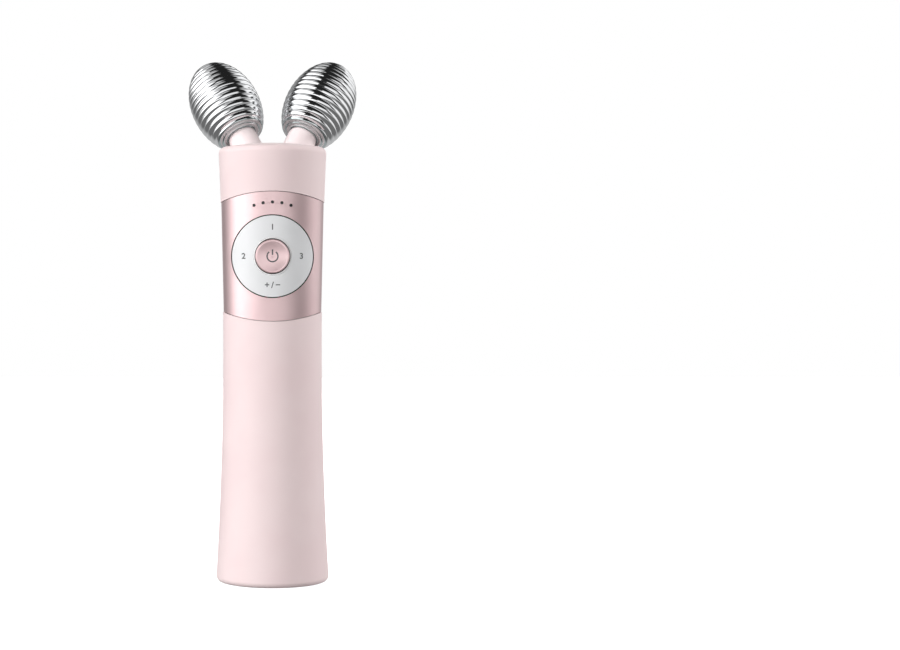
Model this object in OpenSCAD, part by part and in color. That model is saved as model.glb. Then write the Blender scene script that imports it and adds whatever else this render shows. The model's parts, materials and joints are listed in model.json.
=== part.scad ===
// Facial toning device: a round flared handle with a rocking control ring,
// a power button and two ribbed rollers that spin on splayed axles.
// Millimetres, +Z up, the controls face -Y, the origin is the middle of the base.

/* [Handle] */
// Height at the middle of the crowned top
handle_h = 160.8; // [157:0.2:164]
// Radius at the waist
waist_r = 18.1; // [17.8:0.1:19]
// Height of the waist
waist_z = 88; // [84:1:92]
// Radius of the long hollow curve that flares both ends
flare_r = 1450; // [1250:10:1900]
// Radius of the crowned top
crown_r = 105; // [90:1:140]
// Rounding of the top edge
top_round = 2.4; // [1.6:0.1:2.8]
// Rounding of the bottom edge
base_round = 1.9; // [1.2:0.1:2.2]
// Thickness of the grip, at its waist and in its foot
grip_wall = 2.1; // [1.8:0.1:2.3]
// Height of the solid ring at the foot, above the tube's end
foot_ring_h = 2.5; // [2:0.1:4]
// Height up to which the grip's foot is hollowed
foot_hollow_z = 48; // [30:1:55]
// Number of ribs in the hollow foot
foot_ribs = 8; // [6:1:12]
// Thickness of those ribs
foot_rib_w = 1.2; // [0.8:0.1:1.6]
// Thickness of the head cover
head_wall = 2; // [1.6:0.1:2.4]

/* [Band] */
// Distance of the middle of the band, and of the ring, below the top
band_drop = 41.6; // [40:0.2:42.8]
// Half of the band's height, at the front
band_half = 23.3; // [22.6:0.1:23.6]
// Radius of the band's curved edges, seen from the front
band_edge_r = 53; // [50:1:60]
// Depth of the band below the pink surfaces
band_step = 0.25; // [0.1:0.05:0.4]
// Thickness of the band
band_wall = 1.2; // [1:0.1:1.3]
// Width of the seams at the band's edges
seam = 0.2; // [0.1:0.05:0.3]

/* [Inner tube] */
// Thickness of the inner tube
tube_wall = 1.5; // [1.2:0.1:1.6]
// Top end of the inner tube, below the top of the handle
tube_drop = 14.8; // [14.4:0.2:15.4]
// Half height of the land that the band sits on
land_half = 18.4; // [17.8:0.1:18.8]
// Radius of the screw bosses
boss_r = 2.5; // [2.2:0.1:2.6]
// Length of the bosses for the cap screws
column_boss_l = 8; // [7:0.5:8.5]
// Length of the bosses for the carrier screws
tube_boss_l = 5.4; // [5:0.1:6]
// Thickness of the webs that carry the cap screws' bosses
web_t = 2; // [1.6:0.1:2.4]
// Length of the lugs that hold the main board's edges
rail_l = 5; // [4:0.5:6]
// Thickness of those lugs
rail_t = 1.2; // [1:0.1:1.4]
// Width of the board's edge between them
rail_grip = 1; // [0.8:0.1:1.2]

/* [Foot] */
// Radius of the bottom cap
cap_r = 17; // [16.8:0.1:17.2]
// Thickness of the bottom cap
cap_h = 2.6; // [2.4:0.1:3]
// Thickness of the gasket over the cap
gasket_h = 0.4; // [0.3:0.1:0.6]
// Depth of the plug that enters the tube
plug_h = 5; // [4:0.5:5.5]
// Thickness of that plug's wall
plug_wall = 1.4; // [1.2:0.1:1.6]
// Distance of the cap screws from the middle
cap_screw_x = 11.2; // [11:0.1:11.4]
// Height of the columns that the cap screws pass
column_z = 9.9; // [9:0.1:11]
// Depth of the cap screws' heads below the base
cap_head_z = 0.6; // [0.4:0.1:0.8]

/* [Charging] */
// Distance of the charging socket behind the middle
socket_y = 8; // [7:0.5:8.5]
// Width of the socket's metal shell
socket_w = 8.94; // [8.9:0.02:9]
// Depth of the socket's metal shell
socket_d = 3.26; // [3.2:0.02:3.3]
// Thickness of the socket's metal shell
socket_wall = 0.3; // [0.2:0.05:0.35]
// Depth of the socket's mouth below the base
socket_sink = 0.6; // [0.4:0.1:1]
// Thickness of the socket's back
socket_back = 1.2; // [1:0.1:1.4]
// Width of the tongue in the socket
tongue_w = 6.7; // [6.5:0.1:6.8]
// Thickness of the tongue
tongue_t = 0.7; // [0.6:0.05:0.75]
// Underside of the charging board
charge_board_z = 8.6; // [8.4:0.1:9]
// Width of the charging board
charge_board_w = 16; // [15:0.5:16.5]
// Length of the charging board
charge_board_d = 20; // [19.5:0.5:20.5]
// Distance of that board's front edge from the axis
charge_front = 8.6; // [8.4:0.1:9]
// Sideways distance of that board's screws from the middle
charge_post_x = 5.5; // [5.2:0.1:5.8]
// Distance of those screws from the board's front edge
charge_edge = 2.6; // [2.4:0.1:3]
// Radius of the posts under them
charge_post_r = 1.8; // [1.6:0.1:1.9]
// Width of the chips
chip_w = 5; // [4:0.5:6]
// Thickness of the chips
chip_h = 1; // [0.8:0.1:1.2]
// Thickness of both circuit boards
board_t = 1.6; // [1:0.1:1.6]

/* [Battery] */
// Radius of the cell
cell_r = 9.2; // [9:0.05:9.3]
// Length of the cell
cell_l = 65; // [60:0.5:66]
// Radius of the cell's raised end
nub_r = 3.2; // [2.8:0.1:3.6]
// Height of that end
nub_h = 1.2; // [0.8:0.1:1.6]
// Height of the cradle's lower end
cradle_z = 18.6; // [18.4:0.2:20]
// Thickness of the cradle's ends
cradle_wall = 1.6; // [1.2:0.1:2]
// Distance of the cradle's open front from the axis
cradle_open = 5; // [4:0.5:6]
// Radius of the holes in its ends
cradle_hole_r = 3.8; // [3.4:0.1:4.2]
// Sideways distance of the battery leads from the middle
lead_x = 2.5; // [2.2:0.1:2.8]
// Radius of the battery leads
lead_r = 0.7; // [0.5:0.1:0.8]
// Height over which the leads change from one line to the next
lead_bend = 5; // [4:0.5:6]

/* [Main board] */
// Half width of the main board
board_half_w = 13; // [12.9:0.1:13.2]
// Reach of the main board below the middle of the ring
board_below = 15.6; // [15.2:0.2:20]
// Reach of the main board above the middle of the ring
board_above = 23.6; // [22.8:0.2:24.4]
// Distance of the board's front from the handle's axis
board_front = 4.5; // [4.4:0.1:4.7]
// Width of a switch
switch_w = 3.2; // [3:0.1:3.4]
// Height of a switch without its plunger
switch_h = 1.8; // [1.6:0.1:1.9]
// Height of a switch's plunger
plunger_h = 1.05; // [1:0.05:1.1]
// Radius of the plungers
plunger_r = 0.9; // [0.7:0.1:1]
// Play between a key and its switch's plunger
switch_play = 0.45; // [0.42:0.01:0.55]
// Width of the controller chip
controller_w = 7; // [6:0.5:8]
// Distance of the controller chip's middle below the ring's middle
controller_drop = 10.5; // [10:0.5:11]
// Width of the transformer
transformer_w = 8; // [7:0.5:8]
// Height of the transformer over the board
transformer_h = 6; // [5:0.5:6.5]
// Distance of the transformer's middle above the ring's middle
transformer_rise = 6; // [5:0.5:7]

/* [Control ring] */
// Radius of the ring
ring_r = 14.6; // [14.4:0.1:15.2]
// Gap round the ring
ring_gap = 0.4; // [0.35:0.05:0.5]
// Thickness of the ring
ring_wall = 1.6; // [1.4:0.1:1.8]
// Distance of the four press points from the middle
post_circle = 11.2; // [11:0.1:11.4]
// Radius of the posts under the press points
post_r = 1.1; // [1:0.1:1.2]
// Distance of the rocking axes from the handle's axis
pivot_y = 11.5; // [11.3:0.1:11.7]
// Inner radius of the rocking frame
frame_in_r = 6; // [5.6:0.1:6.2]
// Outer radius of the rocking frame
frame_out_r = 8; // [7.8:0.1:8.1]
// Thickness of the rocking frame
frame_h = 1.8; // [1.6:0.1:1.9]
// Radius of the rocking frame's pins
frame_pin_r = 0.6; // [0.5:0.05:0.65]
// Distance of the lugs' inner faces from the middle
lug_at = 8.4; // [8.3:0.1:8.6]
// Thickness of the lugs
lug_t = 1.4; // [1.2:0.1:1.6]
// Width of the lugs
lug_w = 3.2; // [3:0.1:3.6]
// Material round the pins in the lugs
lug_wall = 0.6; // [0.5:0.1:0.8]
// Radius of the plate that carries the keys
plate_r = 13.4; // [13.2:0.1:13.6]
// Thickness of that plate
plate_h = 1.4; // [1.2:0.1:1.6]
// Radius of the plate's legs
leg_r = 1.8; // [1.6:0.1:1.9]
// Clearance round the posts where they pass the plate
post_play = 0.8; // [0.7:0.1:0.9]

/* [Power button] */
// Radius of the button
button_r = 6.15; // [5.9:0.05:6.2]
// Gap round the button
button_gap = 0.3; // [0.25:0.05:0.4]
// Distance of the button's rim from the handle's axis
button_front = 18.3; // [18.1:0.1:18.5]
// Thickness of the button at its rim
button_h = 2.3; // [1.8:0.1:2.5]
// Depth of the dish in the button
dish_depth = 0.7; // [0.4:0.1:1]
// Width of the raised edge round the dish
dish_edge = 0.8; // [0.5:0.1:1.2]
// Rounding of the button's edge
edge_round = 0.5; // [0.3:0.1:0.6]
// Radius of the button's stem
stem_r = 2.4; // [2:0.1:2.5]
// Radius of the stem's tip
tip_r = 1.2; // [1:0.1:1.4]
// Width of the flange that keeps the button in
flange_w = 0.8; // [0.6:0.1:0.9]
// Thickness of that flange
flange_h = 0.8; // [0.7:0.1:0.9]
// Radius of the hub that guides the stem
hub_r = 4; // [3.8:0.1:4.4]
// Height of the hub above the plate
hub_h = 4.7; // [4:0.1:5]
// Thickness of the bright rim round the button
bezel_wall = 0.35; // [0.3:0.05:0.4]

/* [Indicator dots] */
// Distance of the dots from the middle of the ring
dot_circle = 19.4; // [19:0.1:19.6]
// Angle from dot to dot
dot_angle = 10; // [8:0.5:11]
// Number of dots
dots = 5; // [3:2:5]
// Radius of a dot
dot_r = 0.55; // [0.45:0.05:0.6]
// Depth of the light guide's bar below the board's front
guide_at = 4; // [3:0.5:5]
// Thickness of that bar
guide_h = 1.5; // [1:0.1:2]
// Width of that bar
guide_w = 1.5; // [1.4:0.1:1.8]
// Width of the lamps
lamp_w = 1.6; // [1.4:0.1:1.7]
// Depth of the lamps, up and down
lamp_d = 1; // [0.8:0.1:1.2]
// Height of the lamps over the board
lamp_h = 0.7; // [0.5:0.1:0.8]

/* [Rollers] */
// Half of the length that the roller's full egg shape would have
roller_half = 19.4; // [18.6:0.1:19.8]
// Radius of the roller at its thickest
roller_r = 12.8; // [12.4:0.1:13]
// Distance of the roller's mouth from its middle
mouth_at = 14.4; // [14.2:0.1:14.8]
// Number of ribs from tip to lip
roller_ribs = 17; // [15:1:22]
// Radius of a rib's round crest
rib_r = 1.8; // [1.6:0.1:2.4]
// Roundness of the smooth lip round the roller's mouth
lip_round = 1.3; // [1:0.1:1.5]
// Thickness of the roller's shell
roller_wall = 2.4; // [2:0.1:2.8]
// Sideways distance of each roller's middle
roller_spread = 17.4; // [17:0.1:18.4]
// Distance of the rollers' middles behind the handle's axis
roller_back = 15; // [14.5:0.1:16]
// Height of the rollers' middles above the handle
roller_rise = 14.6; // [14.6:0.1:15.6]
// Outward angle of the axles, seen from the front
splay = 27.6; // [26:0.2:29]
// Backward angle of the axles
lean = 28; // [27:0.5:30]
// Radius of the necks
neck_r = 5.4; // [5.2:0.1:5.6]
// Rounding of a neck's end
neck_round = 3; // [2:0.1:3]
// Distance of a neck's end from the roller's middle
neck_top = 12.9; // [12.8:0.1:13.2]
// Depth of the necks below the top of the handle
neck_sink = 6.5; // [6.2:0.1:6.7]
// Radius of the axles
axle_r = 2; // [1.8:0.1:2]
// Depth of the axles below the top of the handle
axle_sink = 12; // [11.8:0.1:12.3]
// Outer radius of the roller's core
core_r = 5.7; // [5.6:0.1:6]
// Distance of the core's far end from the roller's middle
core_top = 12; // [11.4:0.1:12.2]
// Length of the collars in which the shell grips its core
shell_collar = 6; // [5:0.5:7]
// Outer radius of the bushes
bush_r = 3.95; // [3.6:0.05:4.2]
// Length of the bushes
bush_l = 4; // [3.5:0.1:4.2]
// Length of the lower bush outside the core
bush_proud = 0.7; // [0.5:0.1:1]
// Depth of the upper bush in the core's end
bush_sink = 3; // [2.8:0.1:3.4]
// Thickness of the thrust washers
washer_h = 0.75; // [0.6:0.05:0.9]
// Width of the thrust washers and of the contact ferrules round the axle
washer_w = 1; // [0.8:0.1:1.2]
// Length of the contact ferrules
ferrule_h = 1.2; // [1:0.1:1.4]
// Radius of the clips
clip_r = 3.6; // [3.4:0.1:3.8]
// Thickness of the clips
clip_h = 0.7; // [0.6:0.1:0.8]
// Depth of the groove that holds each clip
clip_groove = 0.4; // [0.3:0.1:0.5]
// Height of the block that carries the necks
carrier_h = 8.5; // [8.2:0.1:8.6]
// Height of its spigot in the tube
spigot_h = 1.4; // [1:0.1:1.8]
// Thickness of the block under its screws' heads
carrier_floor = 3; // [2.6:0.1:3.4]
// Radius of the electrode leads
electrode_lead_r = 0.5; // [0.4:0.1:0.6]
// Length of their straight start below the axles
electrode_drop = 4; // [3.5:0.5:4.5]

/* [Fits] */
// Gap between pieces that slide together and stay
slide_gap = 0.05; // [0.03:0.01:0.08]
// Gap between pieces that turn or slide on each other
running_gap = 0.05; // [0.03:0.01:0.08]
// Gap round loosely fitted pieces
loose_gap = 0.2; // [0.1:0.05:0.25]
// Gap between faces that seat on each other
face_gap = 0.1; // [0.05:0.01:0.12]
// Radius of the shanks of the case screws
screw_r = 1.1; // [1:0.05:1.2]
// Radius of their heads
screw_head_r = 2.1; // [1.9:0.1:2.2]
// Height of their heads
screw_head_h = 1.5; // [1.3:0.1:1.6]
// Radius of the shanks of the board screws
small_screw_r = 0.75; // [0.7:0.05:0.8]
// Radius of their heads
small_head_r = 1.5; // [1.3:0.1:1.6]
// Height of their heads
small_head_h = 1; // [0.8:0.1:1.2]
// Material left at the end of a blind screw hole
pilot_floor = 0.5; // [0.4:0.1:0.6]
// Room between a screw's tip and the end of its hole
tip_room = 0.5; // [0.4:0.1:0.6]

/* [Hidden] */

$fn = 72;
left = -1;
right = 1;

// How far a cut runs past what it cuts, and joined shapes run into each other
past = 1;
root = 0.5;

// Outline of the handle: the flare's circle, the crown's circle and their roundings
side_step = 8;
round_steps = 8;
crown_steps = 6;
flare_at = [waist_r + flare_r, waist_z];
crown_at = [0, handle_h - crown_r];
base_round_at = [
  flare_at[0] - sqrt(pow(flare_r + base_round, 2) - pow(waist_z - base_round, 2)),
  base_round
];
top_round_at = meeting(crown_at, crown_r - top_round, flare_at, flare_r + top_round);
beyond = side_r(0) + 4;

// Tube and its neighbours
band_z = handle_h - band_drop;
bore_r = waist_r - grip_wall;
tube_r = bore_r - slide_gap;
tube_in_r = tube_r - tube_wall;
tube_foot_z = cap_h + gasket_h;
tube_top_z = handle_h - tube_drop;
foot_floor_z = tube_foot_z + foot_ring_h;
band_in_r = side_r(band_z) - band_step - band_wall;
land_r = band_in_r - slide_gap;
window_r = ring_r + ring_gap + loose_gap;
window_depth = board_front + 1.5;
column_boss_z = column_z + face_gap;
carrier_screw_y = tube_in_r - boss_r + 0.4;

// Boards and the cell between them
charge_post_y = charge_edge - charge_front;
charge_top_z = charge_board_z + board_t;
cell_z = cradle_z + cradle_wall + loose_gap;
cradle_top_z = cell_z + cell_l + loose_gap + cradle_wall;
board_low_z = band_z - board_below;
board_top_z = band_z + board_above;
board_back = board_front - board_t;

// Controls, measured forward from the handle's axis
switch_top = board_front + switch_h + plunger_h;
key_tip = switch_top + switch_play;
plate_back = key_tip + face_gap;
plate_front = plate_back + plate_h;
hub_front = plate_front + hub_h;
flange_r = stem_r + flange_w;
flange_room = 0.3;
flange_sink = 0.5;
hub_shoulder = plate_back + flange_sink + flange_h + face_gap;
button_back = button_front - button_h;
bezel_in_r = button_r + button_gap;
bezel_r = bezel_in_r + bezel_wall;
bezel_back = button_back - 0.5;
bezel_proud = 0.1;
lug_reach = frame_pin_r + lug_wall;
pin_end = lug_at + lug_t - face_gap;
leg_at = plate_r - leg_r - loose_gap;

// Rollers, measured along each axle from the roller's middle
axis_up = cos(lean) * cos(splay);
roller_z = handle_h + roller_rise;
neck_low = -(roller_rise + neck_sink) / axis_up;
axle_low = -(roller_rise + axle_sink) / axis_up;
washer_low = slide_gap - neck_top;
washer_r = axle_r + washer_w;
lower_bush_low = washer_low + washer_h + loose_gap;
core_low = lower_bush_low + bush_proud;
upper_bush_top = core_top - bush_sink;
bush_pocket_r = bush_r + slide_gap;
core_bore_r = axle_r + 0.8;
clip_low = upper_bush_top + 0.45;
clip_groove_r = axle_r - clip_groove;
axle_top = core_top - 1;
carrier_r = tube_r - face_gap;
carrier_top_z = tube_top_z + carrier_h;

// Ribs lie at even steps along the egg's outline
rib_even = (roller_half - roller_r) / (roller_half + roller_r) * 90 / PI;
lip_angle = acos((lip_round - mouth_at) / roller_half);
rib_step = (lip_angle - rib_even * sin(2 * lip_angle)) / (roller_ribs - 0.5);
rib_pitch = (roller_half + roller_r) / 2 * rib_step * PI / 180;
rib_depth = rib_r - sqrt(rib_r * rib_r - rib_pitch * rib_pitch / 4);
rib_steps = 6;

function dot_at(i) =
  let(a = (i - (dots - 1) / 2) * dot_angle)
  [dot_circle * sin(a), dot_circle * cos(a)];

// Upper point where two circles meet
function meeting(c1, r1, c2, r2) =
  let(
    way = c2 - c1,
    d = norm(way),
    a = (r1 * r1 - r2 * r2 + d * d) / (2 * d),
    h = sqrt(r1 * r1 - a * a),
    e = way / d
  )
  c1 + a * e + h * [-e[1], e[0]];

function angle_of(way) = atan2(way[1], way[0]);

// Radius of the handle at a height
function side_r(z) = waist_r + flare_r - sqrt(pow(flare_r, 2) - pow(z - waist_z, 2));

function side(low, high, inset) =
  let(n = ceil((high - low) / side_step))
  [for (i = [0:n]) let(z = low + (high - low) * i / n) [side_r(z) - inset, z]];

function rounding(at, r, from, to) =
  [for (i = [0:round_steps]) let(a = from + (to - from) * i / round_steps) at + r * [cos(a), sin(a)]];

// The crowned top, from a rim to the middle
function crown(rim, inset) =
  [for (i = [0:crown_steps]) let(r = rim * (1 - i / crown_steps))
    [r, crown_at[1] + sqrt(pow(crown_r - inset, 2) - r * r)]];

function past_first(points) = [for (i = [1:len(points) - 1]) points[i]];

function egg_point(t, grow) =
  let(n = [sin(t) / roller_r, cos(t) / roller_half])
  [roller_r * sin(t), roller_half * cos(t)] + grow * n / norm(n);

// A point on the ribbed outline, counted in ribs from the tip
function rib_point(s) =
  let(
    t = s * rib_step + rib_even * sin(2 * s * rib_step),
    off_crest = (s - round(s)) * rib_pitch
  )
  egg_point(t, sqrt(rib_r * rib_r - off_crest * off_crest) - rib_r);

// A point on the hollow inside the shell
function hollow_point(z) =
  [(roller_r - roller_wall) * sqrt(1 - pow(z / (roller_half - roller_wall), 2)), z];

// A point given along and across an axle, in the handle's frame
function from_roller(side, p) =
  let(
    y = p[1] * cos(lean) + p[2] * sin(lean),
    z = p[2] * cos(lean) - p[1] * sin(lean)
  )
  [
    side * (roller_spread + z * sin(splay)) + p[0] * cos(splay),
    roller_back + y,
    roller_z + z * cos(splay) - side * p[0] * sin(splay)
  ];

// What a rounding takes off a corner: at is its centre, u and v point to its tangents
module corner(at, r, u, v) {
  difference() {
    polygon([at, at + 2 * r * u, at + 2 * r * (u + v), at + 2 * r * v]);
    translate(at) circle(r = r);
  }
}

// Half section of a slice of the handle, set in from its surface
module slice(low, high, inset = 0) {
  polygon(concat([[0, low]], side(low, high, inset), [[0, high]]));
}

// The band and the keys in it share one straight taper between the band's ends
module band_slice(inset = 0) {
  low = band_z - band_half;
  high = band_z + band_half;
  polygon([[0, low], [side_r(low) - inset, low], [side_r(high) - inset, high], [0, high]]);
}

module foot_section(high) {
  turn = rounding(base_round_at, base_round, -90, angle_of(flare_at - base_round_at));
  polygon(concat([[0, 0]], turn, past_first(side(turn[round_steps][1], high, 0)), [[0, high]]));
}

module head_section(low) {
  turn = rounding(
    top_round_at, top_round, angle_of(flare_at - top_round_at), angle_of(top_round_at - crown_at)
  );
  polygon(concat(
    [[0, low]], side(low, turn[0][1], 0), past_first(turn), past_first(crown(turn[round_steps][0], 0))
  ));
}

module head_hollow(low) {
  rim = side_r(top_round_at[1]) - head_wall;
  top = crown(rim, head_wall);
  polygon(concat([[0, low]], side(low, top[0][1], head_wall), past_first(top)));
}

// The band's two edges are round in front view: side is 1 for the upper one
module band_edge(side, grow) {
  translate([0, 0, band_z + side * (band_half - band_edge_r)])
    rotate([90, 0, 0]) cylinder(r = band_edge_r + grow, h = 2 * beyond, center = true, $fn = 180);
}

// Puts children on the ring's axis, facing forward
module facing(depth = 0) {
  translate([0, -depth, band_z]) rotate([90, 0, 0]) children();
}

module at_roller(side) {
  translate([side * roller_spread, roller_back, roller_z])
    rotate([0, side * splay, 0]) rotate([-lean, 0, 0]) children();
}

module rod(low, high, r) {
  translate([0, 0, low]) cylinder(r = r, h = high - low);
}

module tube(low, high, r_in, r_out) {
  difference() {
    rod(low, high, r_out);
    rod(low - past, high + past, r_in);
  }
}

module block(low, high) {
  translate(low) cube(high - low);
}

module slot_plan(w, d, low, high) {
  block([-(w - d) / 2, -d / 2, low], [(w - d) / 2, d / 2, high]);
  for (side = [left, right])
    translate([side * (w - d) / 2, 0, 0]) rod(low, high, d / 2);
}

// A round wire of eight sides along a route
module wire(route, r) {
  sides = 8;
  last = len(route) - 1;
  ways = [for (i = [1:last]) (route[i] - route[i - 1]) / norm(route[i] - route[i - 1])];
  points = [for (i = [0:last])
    let(
      both = ways[max(i - 1, 0)] + ways[min(i, last - 1)],
      along = both / norm(both),
      across = [1, 0, 0] - along[0] * along,
      u = across / norm(across),
      v = cross(along, u)
    )
    for (k = [0:sides - 1])
      route[i] + r * (cos(k * 360 / sides) * u + sin(k * 360 / sides) * v)
  ];
  walls = [for (i = [0:last - 1], k = [0:sides - 1])
    let(n = (k + 1) % sides)
    each [
      [i * sides + k, (i + 1) * sides + n, i * sides + n],
      [i * sides + k, (i + 1) * sides + k, (i + 1) * sides + n]
    ]
  ];
  ends = [for (k = [1:sides - 2])
    each [[0, k, k + 1], [last * sides, last * sides + k + 1, last * sides + k]]
  ];
  polyhedron(points = points, faces = concat(walls, ends));
}

// The head lies past under_head, on the side away from the tip
module screw(under_head, tip, head_r, head_h, shank_r) {
  head_end = under_head + sign(under_head - tip) * head_h;
  rod(min(under_head, tip), max(under_head, tip), shank_r);
  rod(min(under_head, head_end), max(under_head, head_end), head_r);
}

module handle_sleeve() {
  color("mistyrose") difference() {
    rotate_extrude($fn = 144) foot_section(band_z);
    band_edge(-1, seam / 2);
    rod(tube_foot_z, band_z + past, bore_r);
    rod(-past, tube_foot_z, cap_r + loose_gap);
    difference() {
      rotate_extrude($fn = 144) slice(foot_floor_z, foot_hollow_z, grip_wall);
      for (i = [0:foot_ribs - 1])
        rotate(i * 360 / foot_ribs)
          block(
            [bore_r - past, -foot_rib_w / 2, foot_floor_z - past],
            [beyond, foot_rib_w / 2, foot_hollow_z + past]
          );
    }
  }
}

module head_cover() {
  color("mistyrose") difference() {
    rotate_extrude($fn = 144) head_section(band_z);
    band_edge(1, seam / 2);
    rod(band_z - past, tube_top_z + past, bore_r);
    rotate_extrude($fn = 144) head_hollow(tube_top_z);
    for (side = [left, right])
      at_roller(side) rod(neck_low, 0, neck_r + loose_gap);
  }
}

module dot_holes(r) {
  for (i = [0:dots - 1])
    facing() translate(dot_at(i)) rod(board_front, beyond, r);
}

module control_band() {
  color("rosybrown") difference() {
    intersection() {
      rotate_extrude($fn = 144) difference() {
        band_slice(band_step);
        square([band_in_r, handle_h]);
      }
      band_edge(-1, -seam / 2);
      band_edge(1, -seam / 2);
    }
    facing() rod(0, beyond, ring_r + ring_gap);
    dot_holes(dot_r + slide_gap);
  }
}

module inner_tube() {
  color("whitesmoke") difference() {
    union() {
      difference() {
        union() {
          rod(tube_foot_z, tube_top_z, tube_r);
          rod(band_z - land_half, band_z + land_half, land_r);
        }
        rod(0, handle_h, tube_in_r);
        facing() rod(window_depth, beyond, window_r);
        dot_holes(dot_r + slide_gap);
      }
      for (side = [left, right]) {
        translate([side * cap_screw_x, 0, 0]) rod(column_boss_z, column_boss_z + column_boss_l, boss_r);
        block(
          [side > 0 ? cap_screw_x : root - tube_r, -web_t / 2, column_boss_z],
          [side > 0 ? tube_r - root : -cap_screw_x, web_t / 2, column_boss_z + column_boss_l]
        );
        translate([0, side * carrier_screw_y, 0]) rod(tube_top_z - tube_boss_l, tube_top_z, boss_r);
        board_rails(side);
      }
    }
    for (side = [left, right]) {
      translate([side * cap_screw_x, 0, 0])
        rod(column_z, column_boss_z + column_boss_l + past, screw_r + slide_gap);
      translate([0, side * carrier_screw_y, 0])
        rod(tube_top_z - tube_boss_l + pilot_floor, tube_top_z + past, screw_r + slide_gap);
    }
  }
}

// Pairs of lugs inside the tube that hold the main board's edges
module board_rails(side) {
  rows = [-board_front - slide_gap - rail_t, slide_gap - board_back];
  for (z = [board_low_z + root, board_top_z - rail_l - root], y = rows)
    intersection() {
      block(
        [side > 0 ? board_half_w - rail_grip : -tube_r, y, z],
        [side > 0 ? tube_r : rail_grip - board_half_w, y + rail_t, z + rail_l]
      );
      rod(z - past, z + rail_l + past, tube_in_r + root);
    }
}

module bottom_cap() {
  plug_r = tube_in_r - loose_gap;
  color("mistyrose") difference() {
    union() {
      rod(0, cap_h, cap_r);
      tube(cap_h - root, cap_h + plug_h, plug_r - plug_wall, plug_r);
      for (side = [left, right]) {
        translate([side * cap_screw_x, 0, 0]) rod(root, column_z, boss_r);
        translate([side * charge_post_x, charge_post_y, 0]) rod(root, charge_board_z, charge_post_r);
      }
    }
    for (side = [left, right]) {
      translate([side * cap_screw_x, 0, 0]) {
        rod(-past, column_z + past, screw_r + face_gap);
        rod(-past, cap_head_z + screw_head_h, screw_head_r + loose_gap);
      }
      translate([side * charge_post_x, charge_post_y, 0])
        rod(cap_h + pilot_floor, charge_board_z + past, small_screw_r + slide_gap);
    }
    translate([0, socket_y, 0])
      slot_plan(socket_w + 2 * loose_gap, socket_d + 2 * loose_gap, -past, cap_h + past);
  }
}

module cap_gasket() {
  color("dimgray") tube(cap_h, cap_h + gasket_h, tube_in_r + face_gap, cap_r);
}

module cap_screws() {
  color("silver") for (side = [left, right])
    translate([side * cap_screw_x, 0, 0]) screw(
      cap_head_z + screw_head_h, column_boss_z + column_boss_l - tip_room,
      screw_head_r, screw_head_h, screw_r
    );
}

module charging_socket() {
  inner_w = socket_w - 2 * socket_wall;
  inner_d = socket_d - 2 * socket_wall;
  color("silver") translate([0, socket_y, 0]) {
    difference() {
      slot_plan(socket_w, socket_d, socket_sink, charge_board_z);
      slot_plan(inner_w, inner_d, socket_sink - past, charge_board_z - socket_back);
    }
    block(
      [-tongue_w / 2, -tongue_t / 2, 2 * socket_sink],
      [tongue_w / 2, tongue_t / 2, charge_board_z - root]
    );
  }
}

module charge_board() {
  color("seagreen") difference() {
    block(
      [-charge_board_w / 2, -charge_front, charge_board_z],
      [charge_board_w / 2, charge_board_d - charge_front, charge_top_z]
    );
    for (side = [left, right])
      translate([side * charge_post_x, charge_post_y, 0])
        rod(charge_board_z - past, charge_top_z + past, small_screw_r + face_gap);
  }
}

module chip(w) {
  translate([-w / 2, -w / 2, 0]) cube([w, w, chip_h]);
}

module charge_chip() {
  color("#333333") translate([0, charge_board_d / 2 - charge_front, charge_top_z]) chip(chip_w);
}

module charge_board_screws() {
  color("silver") for (side = [left, right])
    translate([side * charge_post_x, charge_post_y, 0]) screw(
      charge_top_z, cap_h + pilot_floor + tip_room,
      small_head_r, small_head_h, small_screw_r
    );
}

module battery_cradle() {
  color("gainsboro") difference() {
    rod(cradle_z, cradle_top_z, tube_in_r - loose_gap);
    rod(cradle_z + cradle_wall, cradle_top_z - cradle_wall, cell_r + loose_gap);
    block([-beyond, -beyond, cradle_z - past], [beyond, -cradle_open, cradle_top_z + past]);
    rod(cradle_z - past, cradle_top_z + past, cradle_hole_r);
  }
}

module battery_cell() {
  color("steelblue") {
    rod(cell_z, cell_z + cell_l - nub_h, cell_r);
    rod(cell_z + cell_l - nub_h - root, cell_z + cell_l, nub_r);
  }
}

// From the charging board up the tube's front wall to the main board
module battery_leads() {
  wall_y = lead_r + root - tube_in_r;
  for (side = [left, right])
    color("firebrick") wire([
      [side * lead_x, charge_post_y, charge_top_z],
      [side * lead_x, charge_post_y, cradle_z - lead_bend],
      [side * lead_x, wall_y, cradle_z],
      [side * lead_x, wall_y, board_low_z - lead_bend],
      [side * lead_x, -board_front - lead_r - face_gap, board_low_z + lead_r]
    ], lead_r);
}

module main_board() {
  color("seagreen") difference() {
    block([-board_half_w, -board_front, board_low_z], [board_half_w, -board_back, board_top_z]);
    facing() leg_places() rod(board_back - past, board_front + past, small_screw_r + face_gap);
  }
}

// Puts children on the back of the main board, at a height over the ring's middle
module on_board_back(rise) {
  translate([0, -board_back, band_z + rise]) rotate([-90, 0, 0]) children();
}

module controller_chip() {
  color("#333333") on_board_back(-controller_drop) chip(controller_w);
}

// A winding between two square flanges
module boost_transformer() {
  flange = 1.4;
  color("darkgoldenrod") on_board_back(transformer_rise) {
    for (low = [0, transformer_h - flange])
      translate([-transformer_w / 2, -transformer_w / 2, low]) cube([transformer_w, transformer_w, flange]);
    rod(flange / 2, transformer_h - flange / 2, transformer_w / 2 - flange);
  }
}

module leg_places() {
  for (a = [45:90:315])
    rotate(a) translate([leg_at, 0, 0]) children();
}

module post_places() {
  for (a = [0:90:270])
    rotate(a) translate([post_circle, 0, 0]) children();
}

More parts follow.
